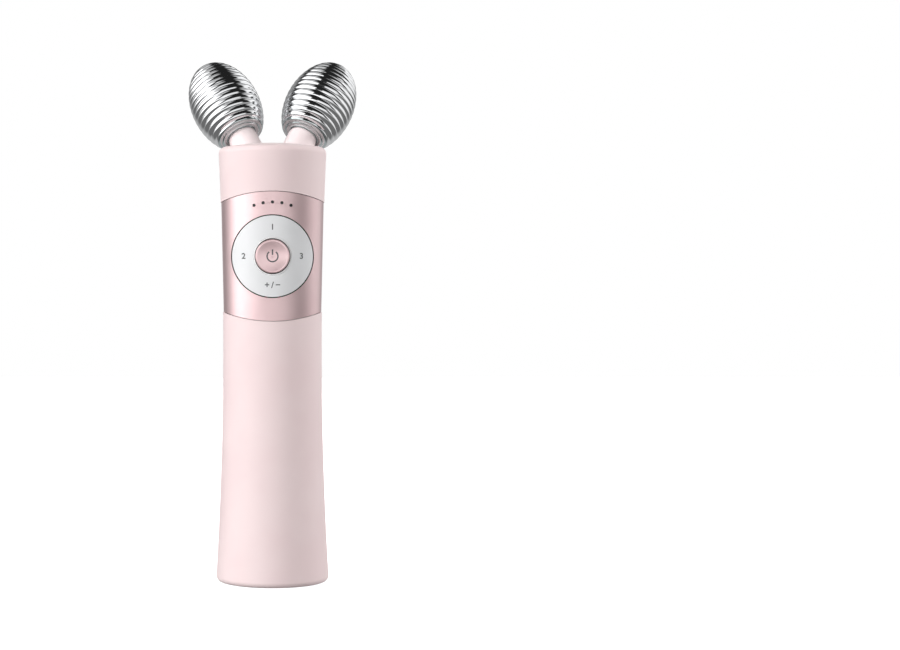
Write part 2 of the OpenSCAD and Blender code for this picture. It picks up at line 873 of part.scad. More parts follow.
module key_switch() {
  block(
    [-switch_w / 2, -switch_w / 2, board_front],
    [switch_w / 2, switch_w / 2, board_front + switch_h]
  );
  rod(board_front + switch_h - root, switch_top, plunger_r);
}

module key_switches() {
  color("#333333") facing() {
    key_switch();
    post_places() key_switch();
  }
}

module indicator_lamps() {
  color("lightyellow") for (i = [0:dots - 1])
    facing() translate(dot_at(i))
      block([-lamp_w / 2, -lamp_d / 2, board_front], [lamp_w / 2, lamp_d / 2, board_front + lamp_h]);
}

// Rods on a curved bar, cut flush with the band
module light_guide() {
  bar_turn = dots * dot_angle;
  color("#222222") intersection() {
    facing() {
      for (i = [0:dots - 1])
        translate(dot_at(i)) rod(board_front + lamp_h + loose_gap, beyond, dot_r);
      translate([0, 0, board_front + guide_at])
        rotate(90 - bar_turn / 2) rotate_extrude(angle = bar_turn)
          translate([dot_circle - guide_w / 2, 0]) square([guide_w, guide_h]);
    }
    rotate_extrude($fn = 144) band_slice(band_step);
  }
}

module key_carrier() {
  color("lightgray") facing() difference() {
    union() {
      rod(plate_back, plate_front, plate_r);
      rod(plate_back, hub_front, hub_r);
      leg_places() rod(board_front, plate_back + root, leg_r);
      for (side = [left, right])
        block(
          [side > 0 ? lug_at : -lug_at - lug_t, -lug_w / 2, plate_back + root],
          [side > 0 ? lug_at + lug_t : -lug_at, lug_w / 2, pivot_y + lug_reach]
        );
    }
    rod(0, beyond, stem_r + running_gap);
    rod(0, hub_shoulder, flange_r + flange_room);
    post_places() rod(0, beyond, post_r + post_play);
    leg_places() rod(0, plate_back - pilot_floor, small_screw_r + slide_gap);
    translate([0, 0, pivot_y]) rotate([0, 90, 0]) rod(-beyond, beyond, frame_pin_r + running_gap);
  }
}

module board_screws() {
  color("silver") facing() leg_places()
    screw(board_back, plate_back - pilot_floor - tip_room, small_head_r, small_head_h, small_screw_r);
}

module key_frame() {
  color("gray") facing(pivot_y) {
    tube(-frame_h / 2, frame_h / 2, frame_in_r, frame_out_r);
    for (a = [0:90:270])
      rotate(a) rotate([0, 90, 0]) rod((frame_in_r + frame_out_r) / 2, pin_end, frame_pin_r);
  }
}

module control_ring() {
  color("gainsboro") difference() {
    union() {
      intersection() {
        rotate_extrude($fn = 144) difference() {
          band_slice();
          band_slice(ring_wall);
        }
        facing() rod(0, beyond, ring_r);
      }
      intersection() {
        facing() {
          post_places() rod(key_tip, beyond, post_r);
          for (side = [left, right])
            block(
              [-lug_w / 2, side > 0 ? lug_at : -lug_at - lug_t, pivot_y - lug_reach],
              [lug_w / 2, side > 0 ? lug_at + lug_t : -lug_at, beyond]
            );
        }
        rotate_extrude($fn = 144) band_slice(ring_wall / 2);
      }
    }
    facing() rod(0, beyond, bezel_r + slide_gap);
    facing(pivot_y) rotate([90, 0, 0]) rod(-beyond, beyond, frame_pin_r + running_gap);
  }
}

module button_bezel() {
  color("silver") intersection() {
    facing() tube(bezel_back, beyond, bezel_in_r, bezel_r);
    rotate_extrude($fn = 144) band_slice(-bezel_proud);
  }
}

module power_button() {
  dish_r = button_r - dish_edge;
  dish_ball = (dish_r * dish_r + dish_depth * dish_depth) / (2 * dish_depth);
  color("lightpink") facing() rotate_extrude() difference() {
    union() {
      translate([0, button_back]) square([button_r, button_h]);
      translate([0, hub_shoulder - root]) square([stem_r, button_back - hub_shoulder + 2 * root]);
      translate([0, hub_shoulder - face_gap - flange_h]) square([flange_r, flange_h]);
      translate([0, key_tip]) square([tip_r, hub_shoulder - key_tip]);
    }
    translate([0, button_front + dish_ball - dish_depth]) circle(r = dish_ball, $fn = 180);
    corner([button_r - edge_round, button_front - edge_round], edge_round, [1, 0], [0, 1]);
  }
}

module roller_carrier() {
  color("whitesmoke") difference() {
    union() {
      rod(tube_top_z, carrier_top_z, carrier_r);
      rod(tube_top_z - spigot_h, tube_top_z + root, tube_in_r - loose_gap);
    }
    for (side = [left, right]) {
      at_roller(side) {
        rod(neck_low, 0, neck_r + slide_gap);
        rod(axle_low - past, 0, axle_r + slide_gap);
        rod(axle_low - carrier_h, axle_low + ferrule_h + loose_gap, washer_r + loose_gap);
      }
      translate([0, side * carrier_screw_y, 0]) {
        rod(tube_top_z - spigot_h - past, tube_top_z, boss_r + loose_gap);
        rod(tube_top_z - past, carrier_top_z + past, screw_r + face_gap);
        rod(tube_top_z + carrier_floor, carrier_top_z + past, screw_head_r + loose_gap);
      }
    }
  }
}

module carrier_screws() {
  color("silver") for (side = [left, right])
    translate([0, side * carrier_screw_y, 0]) screw(
      tube_top_z + carrier_floor, tube_top_z - tube_boss_l + pilot_floor + tip_room,
      screw_head_r, screw_head_h, screw_r
    );
}

// From each ferrule down to the top edge of the main board
module electrode_leads() {
  for (side = [left, right]) {
    way_out = from_roller(side, [0, 0, axle_low - electrode_drop]);
    color("khaki") wire([
      from_roller(side, [0, 0, axle_low]),
      way_out,
      [way_out[0], -(board_front + board_back) / 2, board_top_z + loose_gap]
    ], electrode_lead_r);
  }
}

module neck(side) {
  color("mistyrose") at_roller(side) rotate_extrude() difference() {
    translate([0, neck_low]) square([neck_r, -neck_top - neck_low]);
    corner([neck_r - neck_round, -neck_top - neck_round], neck_round, [1, 0], [0, 1]);
    translate([0, neck_low - past]) square([axle_r + slide_gap, -neck_top - neck_low + 2 * past]);
  }
}

module axle(side) {
  color("silver") at_roller(side) {
    rod(axle_low, clip_low, axle_r);
    rod(clip_low - root, clip_low + clip_h + root, clip_groove_r);
    rod(clip_low + clip_h, axle_top, axle_r);
  }
}

module contact_ferrule(side) {
  color("gold") at_roller(side) tube(axle_low, axle_low + ferrule_h, axle_r + slide_gap, washer_r);
}

module thrust_washer(side) {
  color("white") at_roller(side) tube(washer_low, washer_low + washer_h, axle_r + slide_gap, washer_r);
}

module bush(side, low) {
  color("peru") at_roller(side) tube(low, low + bush_l, axle_r + running_gap, bush_r);
}

// A tube stepped for a bush at each end and for the clip beyond the upper one
module roller_core(side) {
  color("gray") at_roller(side) difference() {
    tube(core_low, core_top, core_bore_r, core_r);
    rod(core_low - past, lower_bush_low + bush_l, bush_pocket_r);
    rod(upper_bush_top - bush_l, core_top + past, bush_pocket_r);
    rod(upper_bush_top, core_top + past, clip_r + 1);
  }
}

// Half section of the ribbed egg, with its bore and the hollow round the core
module roller_shell(side) {
  bore = core_r + slide_gap;
  bore_end = core_top + loose_gap;
  hollow_low = shell_collar - mouth_at;
  hollow_high = core_top - shell_collar;
  hollow_steps = 8;
  lip_at = [egg_point(lip_angle, -rib_depth)[0] - lip_round, lip_round - mouth_at];
  color("lightgray") at_roller(side) rotate_extrude($fn = 96) polygon(concat(
    [for (i = [0:rib_steps * (roller_ribs - 0.5) - 1]) rib_point(i / rib_steps)],
    rounding(lip_at, lip_round, 0, -90),
    [[bore, -mouth_at], [bore, hollow_low]],
    [for (i = [0:hollow_steps]) hollow_point(hollow_low + (hollow_high - hollow_low) * i / hollow_steps)],
    [[bore, hollow_high], [bore, bore_end], [0, bore_end]]
  ));
}

module axle_clip(side) {
  color("silver") at_roller(side) difference() {
    tube(clip_low + slide_gap, clip_low + clip_h - slide_gap, clip_groove_r + slide_gap, clip_r);
    block([-clip_groove_r, -clip_r - past, clip_low - past], [clip_groove_r, 0, clip_low + clip_h + past]);
  }
}

module left_neck() { neck(left); }
module right_neck() { neck(right); }
module left_axle() { axle(left); }
module right_axle() { axle(right); }
module left_contact_ferrule() { contact_ferrule(left); }
module right_contact_ferrule() { contact_ferrule(right); }
module left_thrust_washer() { thrust_washer(left); }
module right_thrust_washer() { thrust_washer(right); }
module left_lower_bush() { bush(left, lower_bush_low); }
module right_lower_bush() { bush(right, lower_bush_low); }
module left_upper_bush() { bush(left, upper_bush_top - bush_l); }
module right_upper_bush() { bush(right, upper_bush_top - bush_l); }
module left_roller_core() { roller_core(left); }
module right_roller_core() { roller_core(right); }
module left_roller_shell() { roller_shell(left); }
module right_roller_shell() { roller_shell(right); }
module left_axle_clip() { axle_clip(left); }
module right_axle_clip() { axle_clip(right); }

handle_sleeve();
head_cover();
control_band();
inner_tube();
bottom_cap();
cap_gasket();
cap_screws();
charging_socket();
charge_board();
charge_chip();
charge_board_screws();
battery_cradle();
battery_cell();
battery_leads();
main_board();
controller_chip();
boost_transformer();
key_switches();
indicator_lamps();
light_guide();
key_carrier();
board_screws();
key_frame();
control_ring();
button_bezel();
power_button();
roller_carrier();
carrier_screws();
electrode_leads();
left_neck();
left_axle();
left_contact_ferrule();
left_thrust_washer();
left_lower_bush();
left_upper_bush();
left_roller_core();
left_roller_shell();
left_axle_clip();
right_neck();
right_axle();
right_contact_ferrule();
right_thrust_washer();
right_lower_bush();
right_upper_bush();
right_roller_core();
right_roller_shell();
right_axle_clip();
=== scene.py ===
import json
from math import asin, cos, pi, radians, sin, sqrt
import bmesh
import bpy
from mathutils import Matrix, Vector
from mathutils.bvhtree import BVHTree
from mathutils.geometry import interpolate_bezier


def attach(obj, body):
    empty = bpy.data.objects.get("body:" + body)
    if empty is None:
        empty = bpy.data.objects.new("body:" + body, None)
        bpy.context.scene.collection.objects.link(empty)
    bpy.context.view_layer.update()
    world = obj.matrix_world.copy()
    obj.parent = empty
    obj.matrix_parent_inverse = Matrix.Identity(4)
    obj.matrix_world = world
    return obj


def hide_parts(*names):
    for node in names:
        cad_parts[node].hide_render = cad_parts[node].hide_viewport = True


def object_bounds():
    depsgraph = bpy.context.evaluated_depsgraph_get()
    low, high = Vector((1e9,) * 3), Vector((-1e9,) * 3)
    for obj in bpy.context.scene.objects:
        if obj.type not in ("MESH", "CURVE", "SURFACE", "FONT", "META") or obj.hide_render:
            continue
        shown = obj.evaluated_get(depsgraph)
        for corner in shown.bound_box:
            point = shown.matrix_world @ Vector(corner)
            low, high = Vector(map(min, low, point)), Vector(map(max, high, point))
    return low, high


# Facial toning device: finishes for the CAD pieces and the small pieces that go on them.
# Metres, +Z up along the handle, the controls face -Y.

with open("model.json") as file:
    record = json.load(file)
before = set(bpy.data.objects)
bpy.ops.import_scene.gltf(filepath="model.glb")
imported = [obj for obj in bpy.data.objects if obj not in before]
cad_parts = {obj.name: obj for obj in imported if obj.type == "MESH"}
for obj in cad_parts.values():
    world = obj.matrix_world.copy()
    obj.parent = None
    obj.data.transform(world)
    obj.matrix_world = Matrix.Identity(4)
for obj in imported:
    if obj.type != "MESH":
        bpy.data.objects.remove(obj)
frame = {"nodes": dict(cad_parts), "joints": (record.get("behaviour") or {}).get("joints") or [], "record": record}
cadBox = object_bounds()
nodes = frame["nodes"]
joints = {joint["name"]: joint for joint in frame["joints"]}
mm = 0.001
print("frame loaded:", len(nodes), "nodes")


# Node helpers

def addNode(tree, kind, inputs=None, **settings):
    made = tree.nodes.new(kind)
    for key, value in settings.items():
        setattr(made, key, value)
    for key, value in (inputs or {}).items():
        if isinstance(value, bpy.types.NodeSocket):
            tree.links.new(value, made.inputs[key])
        else:
            made.inputs[key].default_value = value
    return made


def maths(tree, operation, a, b=0.0):
    return addNode(tree, "ShaderNodeMath", {0: a, 1: b}, operation=operation).outputs[0]


def ramp(tree, value, low, high, toLow=0.0, toHigh=1.0):
    # smooth step from one level to another
    return addNode(tree, "ShaderNodeMapRange", {
        "Value": value, "From Min": low, "From Max": high, "To Min": toLow, "To Max": toHigh,
    }, interpolation_type="SMOOTHSTEP").outputs[0]


def noise(tree, scale, detail=2.0, stretch=(1, 1, 1)):
    # noise on object coordinates; scale is in bumps per metre
    place = addNode(tree, "ShaderNodeTexCoord").outputs["Object"]
    turned = addNode(tree, "ShaderNodeMapping", {"Vector": place, "Scale": stretch}).outputs[0]
    return addNode(tree, "ShaderNodeTexNoise", {
        "Vector": turned, "Scale": scale, "Detail": detail, "Roughness": 0.55,
    }).outputs["Fac"]


def newMaterial(name, colour, rough, metal=0.0, sockets=None):
    made = bpy.data.materials.new(name)
    made.use_nodes = True
    made.diffuse_color = (*colour, 1)
    shader = made.node_tree.nodes["Principled BSDF"]
    shader.inputs["Base Color"].default_value = (*colour, 1)
    shader.inputs["Roughness"].default_value = rough
    shader.inputs["Metallic"].default_value = metal
    for key, value in (sockets or {}).items():
        shader.inputs[key].default_value = value
    return made, made.node_tree, shader


def tint(tree, shader, colour, other, factor):
    # colour varies between two close tones
    mixed = addNode(tree, "ShaderNodeMix", {
        "Factor": factor, "A": (*colour, 1), "B": (*other, 1),
    }, data_type="RGBA")
    tree.links.new(mixed.outputs["Result"], shader.inputs["Base Color"])


def relief(tree, shader, height, depth, strength):
    bump = addNode(tree, "ShaderNodeBump", {"Height": height, "Distance": depth, "Strength": strength})
    tree.links.new(bump.outputs["Normal"], shader.inputs["Normal"])


def varyRough(tree, shader, factor, low, high):
    # most of a noise lies between 0.3 and 0.7
    tree.links.new(ramp(tree, factor, 0.3, 0.7, low, high), shader.inputs["Roughness"])


# Finishes
# Each one may have a mottle between two tones (noise scale, and the part of the noise that
# the change of tone takes), wear that varies the roughness, and a grain with its depth in metres.
# Noise is given as scale, detail and stretch.

def addFinish(name, look):
    made, tree, shader = newMaterial(name, look["colour"], look["rough"], look.get("metal", 0.0),
                                     look.get("sockets"))
    if "mottle" in look:
        factor = noise(tree, *look["mottle"])
        if "blend" in look:
            factor = ramp(tree, factor, *look["blend"])
        tint(tree, shader, look["colour"], look["deeper"], factor)
    if "wear" in look:
        varyRough(tree, shader, noise(tree, *look["wear"]), *look["roughRange"])
    if "grain" in look:
        relief(tree, shader, noise(tree, *look["grain"]), look["grainDepth"], look["grainStrength"])
    return made


looks = {
    # matt rubber-like lacquer on the handle, with a very fine even grain
    "softTouchPink": {
        "colour": (0.905, 0.745, 0.745), "deeper": (0.885, 0.715, 0.718), "rough": 0.5,
        "mottle": (45,), "blend": (0.35, 0.65),
        "wear": (260, 3), "roughRange": (0.46, 0.56),
        "grain": (9000, 2), "grainDepth": 0.000012, "grainStrength": 0.6,
        "sockets": {"Specular IOR Level": 0.35, "Sheen Weight": 0.12, "Sheen Roughness": 0.5},
    },
    # smoother coat of the two necks, in a paler pink that is painted light: it stands in for the extra light
    # falling on them
    "litNeckPink": {
        "colour": (0.96, 0.85, 0.85), "deeper": (0.95, 0.82, 0.825), "rough": 0.38,
        "mottle": (60,), "blend": (0.35, 0.65),
        "wear": (300, 3), "roughRange": (0.34, 0.42),
        "grain": (9000, 2), "grainDepth": 0.000008, "grainStrength": 0.5,
        "sockets": {"Specular IOR Level": 0.4},
    },
    # satin rose-gold band, with fine lines round the handle
    "roseMetal": {
        "colour": (0.90, 0.675, 0.685), "deeper": (0.87, 0.64, 0.652), "rough": 0.3, "metal": 0.86,
        "mottle": (60,), "blend": (0.35, 0.65),
        "wear": (400, 3, (1, 1, 6)), "roughRange": (0.28, 0.33),
        "grain": (2600, 2, (0.15, 0.15, 4)), "grainDepth": 0.000001, "grainStrength": 0.4,
        "sockets": {"Coat Weight": 0.15, "Coat Roughness": 0.25},
    },
    # silver-white satin lacquer of the ring
    "silverKey": {
        "colour": (0.81, 0.815, 0.825), "deeper": (0.785, 0.79, 0.80), "rough": 0.4, "metal": 0.12,
        "mottle": (90,), "blend": (0.35, 0.65),
        "wear": (500, 3), "roughRange": (0.38, 0.44),
        "grain": (12000, 1), "grainDepth": 0.000004, "grainStrength": 0.5,
        "sockets": {"Coat Weight": 0.1, "Coat Roughness": 0.35},
    },
    # pearly pink lacquer of the power button
    "pinkKey": {
        "colour": (0.90, 0.67, 0.68), "deeper": (0.87, 0.63, 0.645), "rough": 0.3, "metal": 0.45,
        "mottle": (140,), "blend": (0.35, 0.65),
        "grain": (12000, 1), "grainDepth": 0.000003, "grainStrength": 0.5,
        "sockets": {"Coat Weight": 0.25, "Coat Roughness": 0.2},
    },
    "brightRim": {
        "colour": (0.78, 0.77, 0.77), "rough": 0.2, "metal": 1.0,
        "wear": (900, 2), "roughRange": (0.16, 0.26),
    },
    # plated ribs, with the faintest cloudiness of a handled surface
    "mirrorChrome": {
        "colour": (0.93, 0.94, 0.95), "deeper": (0.90, 0.91, 0.925), "rough": 0.05, "metal": 1.0,
        "mottle": (120,), "blend": (0.4, 0.6),
        "wear": (350, 4), "roughRange": (0.04, 0.075),
    },
    # painted shade and reflection: the chrome on the shoulder, close to the neck, is darker and tinted teal-grey,
    # so that it mirrors the pink head as grey
    "shadedMouthChrome": {
        "colour": (0.62, 0.675, 0.68), "deeper": (0.57, 0.625, 0.63), "rough": 0.1, "metal": 1.0,
        "mottle": (160,), "blend": (0.35, 0.65),
        "wear": (450, 4), "roughRange": (0.08, 0.14),
    },
    "darkLens": {
        "colour": (0.012, 0.012, 0.013), "rough": 0.2,
        "wear": (800, 2), "roughRange": (0.16, 0.26),
        "sockets": {"Coat Weight": 0.3},
    },
    "legendInk": {
        "colour": (0.085, 0.085, 0.09), "deeper": (0.11, 0.11, 0.115), "rough": 0.5,
        "mottle": (3000, 2),
    },
    # shrink sleeve of the cell, slightly wavy
    "cellWrap": {
        "colour": (0.05, 0.15, 0.42), "deeper": (0.04, 0.12, 0.36), "rough": 0.3,
        "mottle": (120,),
        "grain": (160, 2, (1, 1, 0.3)), "grainDepth": 0.00006, "grainStrength": 0.4,
        "sockets": {"Coat Weight": 0.5},
    },
}


def moulded(name, colour, rough=0.5):
    # plain moulded plastic with a fine spark-eroded grain
    return addFinish(name, {
        "colour": colour, "deeper": tuple(0.93 * channel for channel in colour), "rough": rough,
        "mottle": (110,), "blend": (0.3, 0.7),
        "grain": (3000, 2), "grainDepth": 0.000008, "grainStrength": 0.5,
    })


def metal(name, colour, rough):
    # turned or pressed metal of the inner pieces
    return addFinish(name, {
        "colour": colour, "rough": rough, "metal": 1.0,
        "wear": (700, 3), "roughRange": (0.8 * rough, 1.25 * rough),
        "grain": (5000, 2), "grainDepth": 0.000002, "grainStrength": 0.5,
    })


def circuitBoard():
    # green solder mask over a faint copper pattern
    look = {
        "mask": (0.02, 0.16, 0.07), "lighter": (0.025, 0.18, 0.08), "tracks": (0.06, 0.26, 0.12),
        "rough": 0.3, "sockets": {"Coat Weight": 0.4},
        "scale": 260.0, "trackWidth": 0.03, "depth": 0.00002, "strength": 0.4,
    }
    made, tree, shader = newMaterial("circuitBoard", look["mask"], look["rough"], 0.0, look["sockets"])
    place = addNode(tree, "ShaderNodeTexCoord").outputs["Object"]
    tracks = addNode(tree, "ShaderNodeTexBrick", {
        "Vector": place, "Scale": look["scale"], "Mortar Size": look["trackWidth"],
        "Color1": (*look["mask"], 1), "Color2": (*look["lighter"], 1), "Mortar": (*look["tracks"], 1),
    })
    tree.links.new(tracks.outputs["Color"], shader.inputs["Base Color"])
    relief(tree, shader, tracks.outputs["Fac"], look["depth"], look["strength"])
    return made


def copperWinding():
    # turns of wire round the transformer's core
    look = {"colour": (0.55, 0.27, 0.10), "rough": 0.3, "metal": 0.8,
            "scale": 900.0, "depth": 0.00006, "strength": 0.7}
    made, tree, shader = newMaterial("copperWinding", look["colour"], look["rough"], look["metal"])
    place = addNode(tree, "ShaderNodeTexCoord").outputs["Object"]
    turns = addNode(tree, "ShaderNodeTexWave", {"Vector": place, "Scale": look["scale"]},
                    bands_direction="Y")
    relief(tree, shader, turns.outputs["Fac"], look["depth"], look["strength"])
    return made


painted = {name: addFinish(name, look) for name, look in looks.items()}

# by the record's material slots
finishes = {
    "soft_pink": painted["softTouchPink"],
    "rose_metal": painted["roseMetal"],
    "silver_key": painted["silverKey"],
    "pink_key": painted["pinkKey"],
    "bright_rim": painted["brightRim"],
    "dark_lens": painted["darkLens"],
    "mirror_chrome": painted["mirrorChrome"],
    "white_plastic": moulded("whitePlastic", (0.80, 0.80, 0.79)),
    "grey_plastic": moulded("greyPlastic", (0.30, 0.31, 0.33)),
    "steel": metal("steel", (0.60, 0.60, 0.61), 0.25),
    "bronze": metal("bronze", (0.50, 0.30, 0.13), 0.4),
    "brass": metal("brass", (0.75, 0.55, 0.24), 0.25),
    "silicone": moulded("silicone", (0.03, 0.03, 0.032), 0.6),
    "board_green": circuitBoard(),
    "chip_black": moulded("chipBlack", (0.02, 0.02, 0.02), 0.45),
    "cell_blue": painted["cellWrap"],
    "lamp_white": moulded("lampWhite", (0.75, 0.73, 0.60), 0.2),
    "lead_red": moulded("leadRed", (0.40, 0.02, 0.02), 0.4),
    "lead_white": moulded("leadWhite", (0.75, 0.73, 0.66), 0.4),
    "transformer": copperWinding(),
}


def dressNodes():
    for part in frame["record"]["subparts"]:
        piece = nodes[part["node"]]
        if not piece.material_slots:
            piece.data.materials.append(None)
        finish = finishes[part["material_slot"]]
        # the necks take a paler, lit copy of the pink: painted light
        if part["node"].endswith("_neck"):
            finish = painted["litNeckPink"]
        for place in piece.material_slots:
            place.material = finish


dressNodes()
print("finishes on the CAD pieces")


# Mesh helpers

def newPiece(name, bm, finish, body):
    bmesh.ops.recalc_face_normals(bm, faces=bm.faces)
    mesh = bpy.data.meshes.new(name)
    bm.to_mesh(mesh)
    bm.free()
    mesh.materials.append(finish)
    piece = bpy.data.objects.new(name, mesh)
    bpy.context.scene.collection.objects.link(piece)
    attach(piece, body)
    return piece


def smoothShade(piece, angle):
    # smooth faces, with creases kept sharp where they turn by more than the angle
    for face in piece.data.polygons:
        face.use_smooth = True
    piece.data.set_sharp_from_angle(angle=radians(angle))


# Rollers

roller = {
    "half": 19.4 * mm,         # half length of the full egg
    "radius": 12.8 * mm,
    "shoulder": 9.2 * mm,      # radius where the ribbed shoulder leaves the egg
    "mouth": 14.85 * mm,       # from the middle to the open end
    "mouthRadius": 5.35 * mm,
    "pull": (1.1 * mm, 1.6 * mm),  # how tightly the shoulder turns in at its two ends
    "shoulderSteps": 60,
    "ribs": 18.45,
    "ribRadius": 1.8 * mm,     # round crest of a rib
    "stepsPerRib": 16,
    "grooveRound": 0.1,        # how much the bottom of each groove is filled
    "baseSteps": 240,
    "edge": 0.2 * mm,          # round inner edge of the mouth
    "edgeTurns": range(110, 181, 10),  # degrees from outwards to inwards
    "collar": 1.2 * mm,        # depth of the narrow mouth
    "bore": 5.75 * mm,
    "boreEnd": 12.05 * mm,
    "shadedBelow": -13.5 * mm,   # where the painted shade on the shoulder's chrome starts
    "turns": 160,
    "mergeWithin": 0.001 * mm,
    "crease": 60,              # degrees
}


def plainOutline():
    # half outline without ribs: the egg from its tip, then the shoulder into the mouth
    last = pi - asin(roller["shoulder"] / roller["radius"])
    points = []
    for index in range(roller["baseSteps"] + 1):
        angle = last * index / roller["baseSteps"]
        points.append(Vector((roller["radius"] * sin(angle), 0, roller["half"] * cos(angle))))
    leave = (points[-1] - points[-2]).normalized()
    arrive = Vector((roller["mouthRadius"] + roller["edge"], 0, -roller["mouth"]))
    points += interpolate_bezier(points[-1], points[-1] + roller["pull"][0] * leave,
                                 arrive + Vector((roller["pull"][1], 0, 0)), arrive,
                                 roller["shoulderSteps"])[1:]
    return points


def rollerProfile():
    # walks the outline in even steps and sinks the grooves, then turns into the bore
    base = plainOutline()
    reach = [0.0]
    for before, after in zip(base, base[1:]):
        reach.append(reach[-1] + (after - before).length)
    pitch = reach[-1] / roller["ribs"]
    steps = int(roller["ribs"] * roller["stepsPerRib"])
    points = []
    segment = 0
    for index in range(steps + 1):
        along = reach[-1] * index / steps
        while segment < len(base) - 2 and reach[segment + 1] < along:
            segment += 1
        way = base[segment + 1] - base[segment]
        share = (along - reach[segment]) / way.length
        outward = Vector((-way.z, 0, way.x)).normalized()
        place = along / pitch
        offCrest = place - round(place)
        soft = 1 - roller["grooveRound"] * (2 * abs(offCrest)) ** 6
        depth = (roller["ribRadius"] - sqrt(roller["ribRadius"] ** 2 - (offCrest * pitch) ** 2)) * soft
        points.append(base[segment] + share * way - depth * outward)
    points[0].x = 0
    edge = roller["edge"]
    for turn in roller["edgeTurns"]:
        around = Vector((cos(radians(turn)), 0, -sin(radians(turn))))
        points.append(Vector((roller["mouthRadius"] + edge, 0, edge - roller["mouth"])) + edge * around)
    collarEnd = roller["collar"] - roller["mouth"]
    for across, up in ((roller["mouthRadius"], collarEnd), (roller["bore"], collarEnd),
                       (roller["bore"], roller["boreEnd"]), (0, roller["boreEnd"])):
        points.append(Vector((across, 0, up)))
    return points


def makeRoller(side):
    joint = joints[side + "_roller_spin"]
    points = rollerProfile()
    bm = bmesh.new()
    line = [bm.verts.new(point) for point in points]
    edges = [bm.edges.new(pair) for pair in zip(line, line[1:])]
    bmesh.ops.spin(bm, geom=line + edges, cent=(0, 0, 0), axis=(0, 0, 1), angle=2 * pi,
                   steps=roller["turns"], use_merge=True)
    bmesh.ops.remove_doubles(bm, verts=bm.verts, dist=roller["mergeWithin"])
    # faces on the shoulder take the second material, the painted shade of darker, teal-grey chrome
    for face in bm.faces:
        face.material_index = 1 if face.calc_center_median().z < roller["shadedBelow"] else 0
    turn = Vector(joint["axis"]).to_track_quat("Z", "Y").to_matrix().to_4x4()
    bmesh.ops.transform(bm, matrix=Matrix.Translation(joint["pos_m"]) @ turn, verts=bm.verts)
    piece = newPiece(side + "_chrome_shell", bm, finishes["mirror_chrome"], side + "_roller")
    piece.data.materials.append(painted["shadedMouthChrome"])
    smoothShade(piece, roller["crease"])
    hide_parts(side + "_roller_shell")


for side in ("left", "right"):
    makeRoller(side)
print("rollers made")


# Marks on the keys

marks = {
    "height": joints["ring_nod"]["pos_m"][2],  # middle of the keys
    "circle": 10.4 * mm,       # from the ring's middle to each mark
    "digit": 2.9 * mm,
    "sign": 3.1 * mm,
    "weight": 0.06 * mm,       # thickens the strokes
    "spread": 1.4,             # space between the signs
    "curveSteps": 6,           # of the font's outlines
    "slice": 0.4 * mm,         # marks are cut this fine, to bend round the ring
    "castFrom": 10 * mm,       # in front of the device
    "lift": 0.02 * mm,
    "arc": 1.95 * mm,          # middle radius of the power sign's arc
    "line": 0.5 * mm,          # width of its strokes
    "gap": 38,                 # half of the arc's opening, in degrees
    "barLow": 0.45 * mm,
    "barHigh": 2.45 * mm,
    "dashes": 10,
}


def surfaceOf(node):
    # ray target of a CAD piece
    bm = bmesh.new()
    bm.from_mesh(nodes[node].data)
    tree = BVHTree.FromBMesh(bm)
    bm.free()
    return tree


def layOn(bm, surface):
    # moves points along +Y from the front onto a surface, and just proud of it
    start = cadBox[0].y - marks["castFrom"]
    for vertex in bm.verts:
        hit = surface.ray_cast(Vector((vertex.co.x, start, vertex.co.z)), Vector((0, 1, 0)))
        if hit[0] is not None:
            vertex.co.y = hit[0].y - marks["lift"]


def textMesh(body, size):
    curve = bpy.data.curves.new("mark", "FONT")
    curve.body = body
    curve.size = size
    curve.align_x = "CENTER"
    curve.align_y = "CENTER"
    curve.resolution_u = marks["curveSteps"]
    curve.offset = marks["weight"]
    curve.space_character = marks["spread"]
    holder = bpy.data.objects.new("mark", curve)
    bpy.context.scene.collection.objects.link(holder)
    mesh = bpy.data.meshes.new_from_object(holder)
    bpy.data.objects.remove(holder)
    bpy.data.curves.remove(curve)
    bm = bmesh.new()
    bm.from_mesh(mesh)
    bpy.data.meshes.remove(mesh)
    return bm


def addMark(name, bm, surface, x, z, body):
    # stands a flat mark up at its place, slices it and lays it on the key
    bmesh.ops.rotate(bm, verts=bm.verts, cent=(0, 0, 0), matrix=Matrix.Rotation(pi / 2, 3, "X"))
    bmesh.ops.translate(bm, verts=bm.verts, vec=(x, 0, z))
    low = min(vertex.co.x for vertex in bm.verts)
    high = max(vertex.co.x for vertex in bm.verts)
    cuts = int((high - low) / marks["slice"])
    for index in range(1, cuts + 1):
        place = (low + index * marks["slice"], 0, 0)
        bmesh.ops.bisect_plane(bm, geom=bm.verts[:] + bm.edges[:] + bm.faces[:], plane_co=place,
                               plane_no=(1, 0, 0))
    layOn(bm, surface)
    newPiece(name, bm, painted["legendInk"], body)


def makeRingMarks():
    ring = surfaceOf("control_ring")
    for name, text, size, x, z in (
        ("mark_top", "1", marks["digit"], 0, marks["circle"]),
        ("mark_left", "2", marks["digit"], -marks["circle"], 0),
        ("mark_right", "3", marks["digit"], marks["circle"], 0),
        ("mark_bottom", "+/−", marks["sign"], 0, -marks["circle"]),
    ):
        addMark(name, textMesh(text, size), ring, x, marks["height"] + z, "control_ring")


